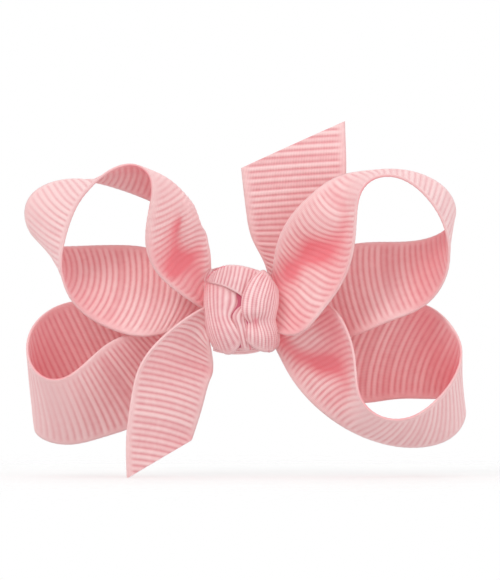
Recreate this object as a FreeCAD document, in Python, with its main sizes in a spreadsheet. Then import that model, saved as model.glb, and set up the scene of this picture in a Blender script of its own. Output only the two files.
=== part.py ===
"""Boutique hair bow on a toothed alligator clip, as a parametric assembly in millimetres.

Frame: +X to the wearer's left across the bow, +Z up, +Y towards the head.
The origin is the middle of the clip's flat back, so the back face is the plane y = 0
and the bow stands in front of it, towards -Y.
"""
import FreeCAD
import Part

import math
import os
import re

import Sketcher

Vector = FreeCAD.Vector
Rotation = FreeCAD.Rotation
Placement = FreeCAD.Placement

DRIVING_DIMENSIONS = {
    # the bow
    "bow_width": 66.9,
    "ribbon_thickness": 0.4,
    "gathered_height": 6.3,
    "front_layer_depth": 9.5,
    "layer_pitch": 0.95,
    "centre_gap": 0.1,
    # the thread that holds the gathered centre
    "thread_diameter": 0.3,
    "thread_turns": 3,
    "thread_pitch": 0.27,
    "thread_clearance": 0.15,
    "thread_corner": 0.4,
    # the knot of narrow ribbon
    "knot_height": 12.9,
    "knot_left": 4.4,
    "knot_right": 3.2,
    "knot_back": 4.5,
    "knot_front": 16.6,
    "knot_bulge_width": 11.0,
    "knot_bulge_depth": 5.8,
    "knot_bulge_rise": 1.6,
    "knot_bulge_inset": 0.2,
    "knot_bulge_shift": 0.1,
    "tunnel_waist_reach": 1.6,
    "tunnel_overshoot": 0.5,
    # the knot's tails, round the clip's upper arm
    "band_width": 7.2,
    "band_height": 9.2,
    "band_thickness": 0.45,
    "band_outer_corner": 1.0,
    "band_inner_corner": 0.6,
    "contact_gap": 0.05,
    # the clip
    "tip_reach": 21.0,
    "tab_reach": 22.0,
    "hinge_reach": 9.0,
    "hinge_depth": 1.8,
    "sheet_thickness": 0.5,
    "upper_arm_width": 8.0,
    "lower_arm_width": 6.8,
    "upper_arm_depth": 3.5,
    "tip_depth": 1.05,
    "tip_width": 3.2,
    "tip_taper": 2.5,
    "tab_taper": 3.0,
    "shoulder_start": 5.5,
    "shoulder_end": 2.5,
    "cut_margin": 1.0,
    "side_margin": 0.1,
    "prong_width": 6.8,
    "prong_bend_reach": 8.0,
    "tab_bend_reach": 13.0,
    "tab_rise": 0.8,
    "tab_drop": 2.5,
    "ear_radius": 1.1,
    "pin_hole_diameter": 1.3,
    "pin_diameter": 1.2,
    "pin_head_diameter": 1.9,
    "pin_head_thickness": 0.25,
    "tooth_pitch": 1.2,
    "tooth_height": 0.45,
    "tooth_count": 5,
    "teeth_start": 1.6,
    # the torsion spring
    "spring_wire": 0.36,
    "spring_coil_radius": 0.95,
    "spring_turns": 4.5,
    "spring_pitch": 0.62,
    "spring_leg": 5.2,
    # the glue between the bow and the clip
    "glue_diameter": 5.6,
    "glue_thickness": 0.35,
}

# How far sections of the knot lie inside its full size: at the front, at the back, and at
# the top and bottom, with the radius of their corners.
BARREL_MIDDLE = {"front": 0.0, "back": 0.0, "height": 0.0, "corner": 3.2}
BARREL_END = {"front": 0.6, "back": 0.2, "height": 0.5, "corner": 3.0}
TUNNEL_WAIST = {"front": 4.0, "back": 0.45, "height": 2.2, "corner": 0.9}
TUNNEL_MOUTH = {"front": 1.0, "back": 0.7, "height": 1.05, "corner": 1.6}

# Width of the bow at which the edge stations below were laid out.
STATION_BOW_WIDTH = 66.9

# Each ribbon is a list of stations along its length. A station gives the front edge, the
# rear edge (both x, y, z) and how far the ribbon's middle sags towards the loop's inside.
# The two ends in the gathered centre are layers of the stack, counted from the front.
UPPER_LEFT_LOOP = {
    "first_layer": 1,
    "last_layer": 2,
    "starts_upright": False,
    "ends_upright": False,
    "inward": 1,
    "stations": [
        ((-4.2, -10.0, -0.8), (-4.6, -9.2, 4.8), 0.3),
        ((-8.2, -12.6, 1.9), (-5.0, -10.8, 7.3), 1.6),
        ((-12.9, -17.6, 6.0), (-5.5, -10.4, 9.6), 1.8),
        ((-14.4, -19.4, 10.3), (-6.3, -9.6, 12.2), -1.2),
        ((-13.9, -20.7, 14.5), (-8.4, -8.0, 13.4), -3.4),
        ((-13.2, -20.6, 18.1), (-10.4, -6.0, 14.8), -3.0),
        ((-13.7, -19.7, 20.7), (-12.6, -4.6, 16.0), -2.4),
        ((-15.8, -19.2, 22.1), (-15.6, -4.0, 17.4), -0.9),
        ((-19.2, -19.2, 21.4), (-19.5, -3.6, 18.8), 0.0),
        ((-22.3, -19.0, 18.9), (-25.2, -3.4, 19.9), 0.0),
        ((-24.9, -18.2, 15.6), (-30.9, -3.8, 18.4), 0.0),
        ((-26.4, -18.0, 11.2), (-32.9, -4.0, 14.8), 0.0),
        ((-27.1, -18.5, 6.5), (-30.6, -3.5, 10.2), 0.0),
        ((-25.2, -17.5, 1.2), (-25.8, -4.1, 9.6), 0.3),
        ((-20.1, -15.0, -2.5), (-20.4, -5.0, 9.8), 0.5),
        ((-13.8, -13.3, -3.9), (-13.8, -4.9, 9.4), 0.3),
        ((-8.4, -9.4, -2.4), (-7.8, -7.2, 6.5), 0.0),
        ((-4.2, -8.0, -2.5), (-4.2, -7.6, 3.4), 0.0),
    ],
}
LOWER_LEFT_LOOP = {
    "first_layer": 3,
    "last_layer": 4,
    "starts_upright": True,
    "ends_upright": True,
    "inward": -1,
    "stations": [
        ((-4.2, -6.7, 1.9), (-4.5, -6.5, -3.8), 0.0),
        ((-8.7, -7.0, -0.4), (-7.0, -5.9, -8.2), 0.0),
        ((-13.8, -10.2, -2.7), (-10.8, -5.6, -14.1), 0.5),
        ((-19.5, -14.9, -4.5), (-16.2, -6.3, -17.4), 0.0),
        ((-24.3, -18.8, -8.7), (-21.6, -7.2, -19.1), 0.0),
        ((-28.2, -19.8, -10.5), (-26.1, -7.4, -20.1), 0.0),
        ((-31.3, -18.2, -8.5), (-30.0, -6.6, -19.3), 0.0),
        ((-32.2, -15.1, -5.1), (-31.6, -5.3, -17.6), 0.0),
        ((-30.9, -12.1, -1.6), (-30.1, -4.3, -15.4), 0.0),
        ((-26.7, -9.6, 1.2), (-25.5, -3.6, -13.5), 0.0),
        ((-20.7, -8.2, 1.5), (-19.2, -3.0, -13.0), 0.0),
        ((-13.8, -5.9, 0.8), (-11.8, -4.5, -10.3), 0.0),
        ((-6.9, -5.6, 0.8), (-6.3, -5.4, -5.2), 0.0),
    ],
}
UPPER_RIGHT_LOOP = {
    "first_layer": 0,
    "last_layer": 2,
    "starts_upright": False,
    "ends_upright": False,
    "inward": -1,
    "stations": [
        ((4.5, -11.5, -3.0), (4.2, -10.0, 4.5), 0.3),
        ((8.2, -14.8, -3.8), (4.8, -11.6, 7.9), 1.7),
        ((11.4, -17.0, -0.6), (5.8, -12.6, 11.8), 2.5),
        ((14.4, -18.4, 3.3), (8.1, -12.4, 15.3), 2.9),
        ((16.3, -20.5, 7.8), (10.9, -10.3, 18.0), 1.9),
        ((16.9, -21.5, 12.8), (13.7, -7.7, 19.9), 0.8),
        ((17.2, -21.3, 17.2), (16.2, -5.9, 20.7), 0.0),
        ((19.2, -20.7, 19.9), (19.6, -4.9, 21.1), 0.0),
        ((23.6, -20.1, 20.1), (23.8, -4.3, 21.3), 0.0),
        ((27.9, -19.6, 16.8), (29.4, -4.0, 19.5), 0.0),
        ((30.1, -19.2, 13.3), (32.2, -3.6, 16.2), 0.0),
        ((31.0, -18.5, 9.2), (31.9, -3.1, 13.0), 0.0),
        ((30.3, -17.2, 4.6), (29.2, -2.8, 11.1), 0.0),
        ((26.7, -15.5, 0.3), (25.2, -3.3, 10.3), 0.3),
        ((21.6, -14.0, -1.6), (20.7, -3.7, 10.3), 0.5),
        ((16.5, -11.0, -3.9), (15.9, -5.2, 9.9), 0.3),
        ((10.2, -7.9, -3.4), (9.6, -6.5, 7.3), 0.0),
        ((4.5, -7.7, -2.5), (4.5, -7.5, 3.4), 0.0),
    ],
}
LOWER_RIGHT_LOOP = {
    "first_layer": 1,
    "last_layer": 3,
    "starts_upright": True,
    "ends_upright": True,
    "inward": 1,
    "stations": [
        ((4.5, -9.0, 2.5), (3.9, -8.4, -3.8), 0.0),
        ((8.7, -10.9, 1.6), (5.2, -9.1, -5.8), 0.8),
        ((12.8, -13.8, 1.2), (6.8, -9.8, -9.0), 1.9),
        ((15.4, -17.1, -2.2), (9.4, -8.5, -12.8), 2.9),
        ((16.8, -19.1, -7.0), (13.2, -6.9, -16.1), 1.6),
        ((17.4, -20.2, -12.9), (17.1, -5.4, -18.4), 0.0),
        ((21.0, -20.1, -16.1), (21.9, -4.7, -20.1), 0.0),
        ((25.6, -19.6, -15.9), (27.1, -4.4, -20.5), 0.0),
        ((29.5, -18.5, -12.9), (32.1, -3.9, -18.8), 0.0),
        ((31.8, -17.4, -9.9), (33.9, -2.6, -15.4), 0.0),
        ((33.0, -15.4, -6.0), (33.1, -1.4, -13.3), 0.0),
        ((31.6, -13.1, -2.5), (30.4, -1.3, -13.2), 0.0),
        ((28.2, -10.4, 0.8), (27.0, -2.8, -13.2), 0.0),
        ((23.1, -9.3, 1.3), (22.2, -3.3, -13.3), 0.0),
        ((16.2, -7.5, 0.1), (15.9, -4.1, -13.7), 0.0),
        ((9.6, -6.0, 0.8), (9.3, -5.6, -8.2), 0.0),
        ((4.5, -6.7, 2.9), (4.2, -6.6, -3.4), 0.0),
    ],
}
UPPER_TAIL = {
    "first_layer": 4,
    "last_layer": None,
    "starts_upright": True,
    "inward": 1,
    "stations": [
        ((3.6, -5.6, 3.4), (4.6, -5.4, -1.6), 0.0),
        ((3.4, -5.3, 7.1), (9.4, -4.9, 4.6), 0.0),
        ((1.5, -6.2, 10.9), (13.2, -4.2, 10.7), 0.3),
        ((0.6, -7.4, 15.4), (15.3, -4.2, 16.9), 0.5),
        ((0.1, -8.0, 19.6), (15.7, -4.8, 22.3), 0.5),
        ((-0.1, -8.2, 21.5), (15.5, -5.0, 28.6), 0.5),
    ],
}
LOWER_TAIL = {
    "first_layer": 0,
    "last_layer": None,
    "starts_upright": True,
    "inward": -1,
    "stations": [
        ((-4.2, -11.5, 1.3), (-4.2, -10.9, -3.4), 0.0),
        ((-8.4, -14.5, -1.1), (-4.9, -12.5, -4.7), 1.2),
        ((-12.9, -18.0, -5.0), (-4.3, -9.2, -8.4), 1.9),
        ((-15.4, -19.6, -8.8), (-5.0, -8.8, -10.7), 1.6),
        ((-16.5, -20.4, -13.7), (-6.0, -8.4, -14.2), 0.6),
        ((-17.1, -20.7, -18.8), (-7.3, -8.1, -18.3), 0.3),
        ((-17.0, -20.3, -24.8), (-7.7, -8.5, -19.5), 0.0),
    ],
}

ROWS_PER_STATION = 3
# makeRuledSurface joins the two edges start to start
FORWARD = 1
COLUMNS = 5

document = FreeCAD.newDocument("hair_bow")
sheet = document.addObject("Spreadsheet::Sheet", "dimensions")
for row, (alias, value) in enumerate(DRIVING_DIMENSIONS.items(), start=1):
    sheet.set(f"A{row}", alias)
    sheet.set(f"B{row}", str(value))
    sheet.setAlias(f"B{row}", alias)
document.recompute()


def size(alias):
    """Value of one driving dimension, read back from the sheet."""
    return float(getattr(sheet, alias))


def shape_feature(label, shape):
    """Document object for a freeform solid."""
    feature = document.addObject("Part::Feature", label)
    feature.Label = label
    feature.Shape = shape
    feature.Placement = Placement()
    return feature


# ---------------------------------------------------------------- ribbons of the bow

def gathered_station(side, layer, upright):
    """Station of a ribbon in the stitched centre, flat in its layer of the stack."""
    depth = -size("front_layer_depth") + layer * size("layer_pitch")
    half_height = size("gathered_height") / 2
    top = half_height if upright else -half_height
    x = side * size("centre_gap") / 2
    return ((x, depth, top), (x, depth, -top), 0.0)


def ribbon_stations(ribbon):
    """All stations of a ribbon, scaled to the bow, with its gathered ends added."""
    scale = size("bow_width") / STATION_BOW_WIDTH
    scaled = []
    for front, rear, sag in ribbon["stations"]:
        scaled.append((tuple(scale * v for v in front), tuple(scale * v for v in rear), scale * sag))
    side = 1 if ribbon["stations"][0][0][0] > 0 else -1
    stations = [gathered_station(side, ribbon["first_layer"], ribbon["starts_upright"])] + scaled
    if ribbon["last_layer"] is not None:
        stations.append(gathered_station(side, ribbon["last_layer"], ribbon["ends_upright"]))
    return stations


def curve_through(points, parameters):
    """Smooth curve that passes each point at its parameter."""
    curve = Part.BSplineCurve()
    curve.interpolate(Points=points, Parameters=parameters)
    return curve


def station_parameters(fronts, rears):
    """Running length of the ribbon's centre line at each station."""
    middles = [(front + rear) / 2 for front, rear in zip(fronts, rears)]
    parameters = [0.0]
    for before, after in zip(middles, middles[1:]):
        parameters.append(parameters[-1] + math.sqrt((after - before).Length))
    return parameters


def ribbon_rows(ribbon):
    """Rows across the ribbon: front edge, rear edge, sag and travel direction at each row."""
    stations = ribbon_stations(ribbon)
    fronts = [Vector(*front) for front, _, _ in stations]
    rears = [Vector(*rear) for _, rear, _ in stations]
    parameters = station_parameters(fronts, rears)
    sags = [Vector(u, station[2], 0) for u, station in zip(parameters, stations)]
    front_curve = curve_through(fronts, parameters)
    rear_curve = curve_through(rears, parameters)
    sag_curve = curve_through(sags, parameters)
    rows = []
    for before, after in zip(parameters, parameters[1:]):
        for step in range(ROWS_PER_STATION):
            rows.append(before + (after - before) * step / ROWS_PER_STATION)
    rows.append(parameters[-1])
    result = []
    for u in rows:
        travel = front_curve.tangent(u)[0] + rear_curve.tangent(u)[0]
        result.append((front_curve.value(u), rear_curve.value(u), sag_curve.value(u).y, travel))
    return result


def ribbon_sheets(ribbon):
    """Point grids of the ribbon's two faces, half a thickness either side of its middle."""
    half = size("ribbon_thickness") / 2
    inner_grid = []
    outer_grid = []
    for front, rear, sag, travel in ribbon_rows(ribbon):
        inward = travel.cross(rear - front) * ribbon["inward"]
        inward.normalize()
        inner_row = []
        outer_row = []
        for column in range(COLUMNS):
            across = column / (COLUMNS - 1)
            middle = front + (rear - front) * across + inward * (4 * sag * across * (1 - across))
            inner_row.append(middle + inward * half)
            outer_row.append(middle - inward * half)
        inner_grid.append(inner_row)
        outer_grid.append(outer_row)
    return inner_grid, outer_grid


def surface_through(grid):
    surface = Part.BSplineSurface()
    surface.interpolate(grid)
    return surface


def border_curves(surface):
    """The surface's four borders: first row, last row, front edge, rear edge."""
    first_u, last_u, first_v, last_v = surface.bounds()
    return (
        surface.uIso(first_u),
        surface.uIso(last_u),
        surface.vIso(first_v),
        surface.vIso(last_v),
    )


def ribbon_solid(ribbon):
    """Closed solid between the ribbon's two faces."""
    inner_grid, outer_grid = ribbon_sheets(ribbon)
    inner = surface_through(inner_grid)
    outer = surface_through(outer_grid)
    faces = [inner.toShape(), outer.toShape()]
    for inner_border, outer_border in zip(border_curves(inner), border_curves(outer)):
        inner_edge = inner_border.toShape()
        outer_edge = outer_border.toShape()
        faces.append(Part.makeRuledSurface(inner_edge, outer_edge, FORWARD))
    shell = Part.makeShell(faces)
    shell.sewShape()
    solid = Part.makeSolid(Part.Shell(shell.Faces))
    if solid.Volume < 0:
        solid.reverse()
    return solid


# ---------------------------------------------------------------- centre of the bow

def thread_solid():
    """Turns of thread wound side by side round the gathered ribbons."""
    layers_depth = 4 * size("layer_pitch") + size("ribbon_thickness")
    middle_depth = size("front_layer_depth") - 2 * size("layer_pitch")
    radius = size("thread_diameter") / 2
    clearance = radius + size("thread_clearance")
    half_depth = layers_depth / 2 + clearance
    half_height = size("gathered_height") / 2 + clearance
    turns = int(size("thread_turns"))
    pitch = size("thread_pitch")
    winding = None
    for turn in range(turns):
        x = (turn - (turns - 1) / 2) * pitch
        front = middle_depth + half_depth
        back = middle_depth - half_depth
        path = rounded_section(x, front, back, half_height, size("thread_corner"))
        first = path.Edges[0]
        start = first.valueAt(first.FirstParameter)
        direction = first.tangentAt(first.FirstParameter)
        profile = Part.Wire(Part.makeCircle(radius, start, direction))
        ring = path.makePipeShell([profile], True, False)
        winding = ring if winding is None else winding.fuse(ring)
    return winding.removeSplitter().Solids[0]


def rounded_section(x, front, back, half_height, radius):
    """Rounded rectangle in a plane across X, from depth front to depth back."""
    low_y = -front
    high_y = -back
    corners = [
        (high_y - radius, half_height - radius, 0),
        (low_y + radius, half_height - radius, 90),
        (low_y + radius, -half_height + radius, 180),
        (high_y - radius, -half_height + radius, 270),
    ]
    arcs = []
    for y, z, start in corners:
        points = []
        for turn in (0, 45, 90):
            angle = math.radians(start + turn)
            points.append(Vector(x, y + radius * math.cos(angle), z + radius * math.sin(angle)))
        arcs.append(Part.Arc(*points).toShape())
    edges = []
    for index, arc in enumerate(arcs):
        following = arcs[(index + 1) % 4]
        edges.append(arc)
        edges.append(Part.makeLine(arc.Vertexes[-1].Point, following.Vertexes[0].Point))
    return Part.Wire(edges)


def knot_section(x, inset):
    """Cross section of the knot at x, drawn in by the given insets."""
    return rounded_section(
        x,
        size("knot_front") - size("knot_bulge_rise") - inset["front"],
        size("knot_back") + inset["back"],
        size("knot_height") / 2 - inset["height"],
        inset["corner"],
    )


def knot_solid():
    """Knot: a round-cornered barrel with a bulging front, open at both sides for the ribbons."""
    left = -size("knot_left")
    right = size("knot_right")
    barrel = Part.makeLoft([
        knot_section(left, BARREL_END),
        knot_section(0, BARREL_MIDDLE),
        knot_section(right, BARREL_END),
    ], True)
    waist = size("tunnel_waist_reach")
    overshoot = size("tunnel_overshoot")
    tunnel = Part.makeLoft([
        knot_section(left - overshoot, TUNNEL_MOUTH),
        knot_section(-waist, TUNNEL_WAIST),
        knot_section(waist, TUNNEL_WAIST),
        knot_section(right + overshoot, TUNNEL_MOUTH),
    ], True, True)
    bulge_height = size("knot_height") / 2 - size("knot_bulge_inset")
    stretch = FreeCAD.Matrix()
    stretch.scale(size("knot_bulge_width") / 2, size("knot_bulge_depth") / 2, bulge_height)
    bulge = Part.makeSphere(1.0).transformGeometry(stretch)
    bulge_depth = size("knot_front") - size("knot_bulge_depth") / 2
    bulge.translate(Vector(-size("knot_bulge_shift"), -bulge_depth, 0))
    return barrel.cut(tunnel).fuse(bulge).removeSplitter().Solids[0]


# ---------------------------------------------------------------- sketching on the sheet

def in_sheet(expression):
    """The expression with every alias (all hold an underscore) read from the sheet."""
    return re.sub(r"[a-z]+(_[a-z]+)+", lambda alias: "dimensions." + alias.group(), expression)


def value_of(expression):
    return float(sheet.evalExpression(expression))


def bind(item, properties):
    """Bind each named property of an object to an expression over the aliases."""
    for name, expression in properties.items():
        item.setExpression(name, in_sheet(expression))


def new_body(label):
    body = document.addObject("PartDesign::Body", label)
    body.Label = label
    return body


def plane_of(body, role):
    """One of the body's own origin planes."""
    for feature in body.Origin.OriginFeatures:
        if feature.Role == role:
            return feature
    raise ValueError(role)


def sketch_on(body, name, role, offset=None):
    """Sketch on one of the body's origin planes, lifted off it by an expression."""
    sketch = body.newObject("Sketcher::SketchObject", name)
    sketch.AttachmentSupport = [(plane_of(body, role), "")]
    sketch.MapMode = "FlatFace"
    if offset is not None:
        bind(sketch, {"AttachmentOffset.Base.z": offset})
    return sketch


def add_constraint(sketch, *definition):
    return sketch.addConstraint(Sketcher.Constraint(*definition))


def place_point(sketch, geometry, point, x, y):
    """Fix a point's two coordinates at expressions."""
    for kind, expression in (("DistanceX", x), ("DistanceY", y)):
        index = add_constraint(sketch, kind, -1, 1, geometry, point, value_of(expression))
        bind(sketch, {f"Constraints[{index}]": expression})


def outline(sketch, corners):
    """Closed outline of straight edges; corners are pairs of expressions."""
    first = sketch.GeometryCount
    points = [Vector(value_of(x), value_of(y), 0) for x, y in corners]
    count = len(corners)
    for index in range(count):
        sketch.addGeometry(Part.LineSegment(points[index], points[(index + 1) % count]), False)
    for index in range(count):
        add_constraint(sketch, "Coincident", first + index, 2, first + (index + 1) % count, 1)
    for index, (x, y) in enumerate(corners):
        place_point(sketch, first + index, 1, x, y)


def circle(sketch, x, y, diameter):
    centre = Vector(value_of(x), value_of(y), 0)
    ring = Part.Circle(centre, Vector(0, 0, 1), value_of(diameter) / 2)
    geometry = sketch.addGeometry(ring, False)
    place_point(sketch, geometry, 3, x, y)
    index = add_constraint(sketch, "Diameter", geometry, value_of(diameter))
    bind(sketch, {f"Constraints[{index}]": diameter})


def pad(body, sketch, length, midplane=False):
    feature = body.newObject("PartDesign::Pad", sketch.Name + "_pad")
    feature.Profile = sketch
    feature.SideType = "Symmetric" if midplane else "One side"
    bind(feature, {"Length": length})
    document.recompute()
    return feature


def pocket_through(body, sketch):
    """Cut the sketch's outlines away on both sides of its plane."""
    before = body.Shape.Volume
    feature = body.newObject("PartDesign::Pocket", sketch.Name + "_cut")
    feature.Profile = sketch
    feature.SideType = "Symmetric"
    feature.Type = "ThroughAll"
    document.recompute()
    if body.Shape.Volume >= before:
        raise ValueError(sketch.Name + " cuts nothing")
    return feature


def mirror_across(body, feature, role):
    mirrored = body.newObject("PartDesign::Mirrored", feature.Name + "_mirrored")
    mirrored.Originals = [feature]
    mirrored.MirrorPlane = (plane_of(body, role), [""])
    body.Tip = mirrored
    document.recompute()
    return mirrored


# ---------------------------------------------------------------- pieces of the clip

def add_ear(body, name, lift, plate_depth, towards):
    """Pair of ears from an arm's plate to just past the pin, rounded about the pin."""
    sketch = sketch_on(body, name, "XY_Plane", lift)
    near = "hinge_reach - ear_radius"
    far = "hinge_reach + ear_radius"
    corners = [
        (near, "-hinge_depth"),
        (near, plate_depth),
        (far, plate_depth),
        (far, "-hinge_depth"),
    ]
    points = [Vector(value_of(x), value_of(y), 0) for x, y in corners]
    for start, end in zip(points, points[1:]):
        sketch.addGeometry(Part.LineSegment(start, end), False)
    crown_depth = towards * size("ear_radius") - size("hinge_depth")
    crown = Vector(size("hinge_reach"), crown_depth, 0)
    sketch.addGeometry(Part.Arc(points[3], crown, points[0]), False)
    for index in range(2):
        add_constraint(sketch, "Coincident", index, 2, index + 1, 1)
    for index, (x, y) in enumerate(corners[:3]):
        place_point(sketch, index, 1, x, y)
    place_point(sketch, 2, 2, *corners[3])
    # an arc always runs anticlockwise, so its ends swap with the crown's side
    first_end, second_end = (1, 2) if towards > 0 else (2, 1)
    add_constraint(sketch, "Coincident", 3, first_end, 2, 2)
    add_constraint(sketch, "Coincident", 3, second_end, 0, 1)
    index = add_constraint(sketch, "DistanceY", -1, 1, 3, 3, value_of("-hinge_depth"))
    bind(sketch, {f"Constraints[{index}]": "-hinge_depth"})
    ear = pad(body, sketch, "sheet_thickness")
    return mirror_across(body, ear, "XY_Plane")


def add_pin_hole(body, name):
    sketch = sketch_on(body, name, "XY_Plane")
    circle(sketch, "hinge_reach", "-hinge_depth", "pin_hole_diameter")
    return pocket_through(body, sketch)


def make_upper_arm():
    """Arm the bow is glued to: sprung down to a narrow toothed tip, flat under the bow."""
    body = new_body("upper_arm")
    side = sketch_on(body, "upper_side", "XY_Plane")
    outline(side, [
        ("-tip_reach", "-tip_depth"),
        ("-prong_bend_reach", "-upper_arm_depth"),
        ("tab_bend_reach", "-upper_arm_depth"),
        ("tab_reach", "-upper_arm_depth - tab_rise"),
        ("tab_reach", "-upper_arm_depth - tab_rise + sheet_thickness"),
        ("tab_bend_reach", "-upper_arm_depth + sheet_thickness"),
        ("-prong_bend_reach", "-upper_arm_depth + sheet_thickness"),
        ("-tip_reach", "-tip_depth + sheet_thickness"),
    ])
    pad(body, side, "upper_arm_width", midplane=True)
    plan = sketch_on(body, "upper_plan", "XZ_Plane")
    for sign in ("", "-"):
        outline(plan, [
            ("-tip_reach - cut_margin", sign + "(tip_width / 2)"),
            ("-tip_reach + tip_taper", sign + "(prong_width / 2)"),
            ("hinge_reach - shoulder_start", sign + "(prong_width / 2)"),
            ("hinge_reach - shoulder_end", sign + "(upper_arm_width / 2 + cut_margin)"),
            ("-tip_reach - cut_margin", sign + "(upper_arm_width / 2 + cut_margin)"),
        ])
        outline(plan, [
            ("tab_reach + cut_margin", sign + "(tip_width / 2)"),
            ("tab_reach - tab_taper", sign + "(upper_arm_width / 2 + cut_margin)"),
            ("tab_reach + cut_margin", sign + "(upper_arm_width / 2 + cut_margin)"),
        ])
    pocket_through(body, plan)
    add_ear(body, "upper_ear", "upper_arm_width / 2 - sheet_thickness", "-upper_arm_depth", 1)
    add_teeth(body)
    add_pin_hole(body, "upper_pin_hole")
    return body


def add_teeth(body):
    """Saw-toothed rim along both edges of the upper arm's tip."""
    sketch = sketch_on(body, "teeth", "XY_Plane", "prong_width / 2 - sheet_thickness")
    slope = "(upper_arm_depth - tip_depth) / (tip_reach - prong_bend_reach)"
    start = "-tip_reach + teeth_start"
    length = "tooth_pitch * tooth_count"
    points = "-tip_depth + sheet_thickness"
    roots = points + " - tooth_height"
    corners = [
        (f"{start} + {length}", f"-tip_depth - ({length} + teeth_start) * {slope}"),
        (start, f"-tip_depth - teeth_start * {slope}"),
    ]
    for tooth in range(int(size("tooth_count"))):
        corners.append((f"{start} + tooth_pitch * {tooth}", roots))
        corners.append((f"{start} + tooth_pitch * {tooth + 0.5}", points))
    corners.append((f"{start} + {length}", roots))
    outline(sketch, corners)
    rim = pad(body, sketch, "sheet_thickness")
    return mirror_across(body, rim, "XY_Plane")


def make_lower_arm():
    """Arm that lies flat on the head and swings on the pin, with its own thumb tab."""
    body = new_body("lower_arm")
    side = sketch_on(body, "lower_side", "XY_Plane")
    outline(side, [
        ("-tip_reach", "-sheet_thickness"),
        ("tab_bend_reach", "-sheet_thickness"),
        ("tab_reach", "tab_drop - sheet_thickness"),
        ("tab_reach", "tab_drop"),
        ("tab_bend_reach", "0 * tab_drop"),
        ("-tip_reach", "0 * tab_drop"),
    ])
    pad(body, side, "lower_arm_width", midplane=True)
    plan = sketch_on(body, "lower_plan", "XZ_Plane")
    tapers = (
        ("-tip_reach - cut_margin", "-tip_reach + tip_taper"),
        ("tab_reach + cut_margin", "tab_reach - tip_taper"),
    )
    for sign in ("", "-"):
        for end, inwards in tapers:
            outline(plan, [
                (end, sign + "(tip_width / 2)"),
                (inwards, sign + "(lower_arm_width / 2 + side_margin)"),
                (end, sign + "(lower_arm_width / 2 + side_margin)"),
            ])
    pocket_through(body, plan)
    add_ear(body, "lower_ear", "lower_arm_width / 2 - sheet_thickness", "0 * tab_drop", -1)
    add_pin_hole(body, "lower_pin_hole")
    return body


def make_hinge_pin():
    """Headed pin through the four ears."""
    shaft_length = "upper_arm_width + 4 * contact_gap"
    shaft_start = "-upper_arm_width / 2 - 2 * contact_gap"
    low_head_start = "-upper_arm_width / 2 - contact_gap - pin_head_thickness"
    high_head_start = "upper_arm_width / 2 + contact_gap"
    pieces = []
    for name, diameter, length, start in (
        ("pin_shaft", "pin_diameter", shaft_length, shaft_start),
        ("pin_head_low", "pin_head_diameter", "pin_head_thickness", low_head_start),
        ("pin_head_high", "pin_head_diameter", "pin_head_thickness", high_head_start),
    ):
        cylinder = document.addObject("Part::Cylinder", name)
        bind(cylinder, {
            "Radius": diameter + " / 2",
            "Height": length,
            "Placement.Base.x": "hinge_reach",
            "Placement.Base.y": "-hinge_depth",
            "Placement.Base.z": start,
        })
        pieces.append(cylinder)
    pin = document.addObject("Part::MultiFuse", "hinge_pin")
    pin.Label = "hinge_pin"
    pin.Shapes = pieces
    pin.Refine = True
    document.recompute()
    return pin


def spring_solid():
    """Torsion spring: a coil round the pin whose two legs push the thumb tabs apart."""
    radius = size("spring_coil_radius")
    pitch = size("spring_pitch")
    height = pitch * size("spring_turns")
    coil = Part.makeHelix(pitch, height, radius)
    # the coil starts on the head side of the pin and ends on the bow side
    coil.Placement = Placement(
        Vector(size("hinge_reach"), -size("hinge_depth"), -height / 2),
        Rotation(Vector(0, 0, 1), 90),
    )
    rise = pitch / (2 * math.pi * radius)
    leg = size("spring_leg")
    start = coil.Edges[0].valueAt(coil.Edges[0].FirstParameter)
    end = coil.Edges[-1].valueAt(coil.Edges[-1].LastParameter)
    first_leg = Part.makeLine(start + Vector(leg, 0, -leg * rise), start)
    last_leg = Part.makeLine(end, end + Vector(leg, 0, leg * rise))
    path = Part.Wire([first_leg] + coil.Edges + [last_leg])
    profile = Part.Wire(Part.makeCircle(
        size("spring_wire") / 2,
        start + Vector(leg, 0, -leg * rise),
        Vector(-1, 0, rise),
    ))
    return path.makePipeShell([profile], True, False, 1)


def make_glue_pad():
    """Dab of hot glue between the bow's back and the clip's upper arm."""
    pad_of_glue = document.addObject("Part::Cylinder", "glue_pad")
    pad_of_glue.Label = "glue_pad"
    bind(pad_of_glue, {
        "Radius": "glue_diameter / 2",
        "Height": "glue_thickness",
        "Placement.Base.y": "-upper_arm_depth - contact_gap",
    })
    pad_of_glue.Placement.Rotation = Rotation(Vector(1, 0, 0), 90)
    return pad_of_glue


def make_knot_band():
    """The knot ribbon's two ends, wrapped round the clip's upper arm behind the bow."""
    body = new_body("knot_band")
    ring = sketch_on(body, "band_ring", "YZ_Plane")
    bow_side = "-upper_arm_depth - glue_thickness - 2 * contact_gap"
    head_side = "-upper_arm_depth + sheet_thickness + contact_gap"
    walls = (
        ("band_thickness", "band_outer_corner"),
        ("0 * band_thickness", "band_inner_corner"),
    )
    for wall, corner in walls:
        low = f"{bow_side} - {wall}"
        high = f"{head_side} + {wall}"
        top = f"(band_height / 2 - band_thickness + {wall})"
        outline(ring, [
            (low, f"-{top} + {corner}"),
            (f"{low} + {corner} / 2", f"-{top}"),
            (f"{high} - {corner} / 2", f"-{top}"),
            (high, f"-{top} + {corner}"),
            (high, f"{top} - {corner}"),
            (f"{high} - {corner} / 2", top),
            (f"{low} + {corner} / 2", top),
            (low, f"{top} - {corner}"),
        ])
    pad(body, ring, "band_width", midplane=True)
    return body


# ---------------------------------------------------------------- assembly

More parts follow.
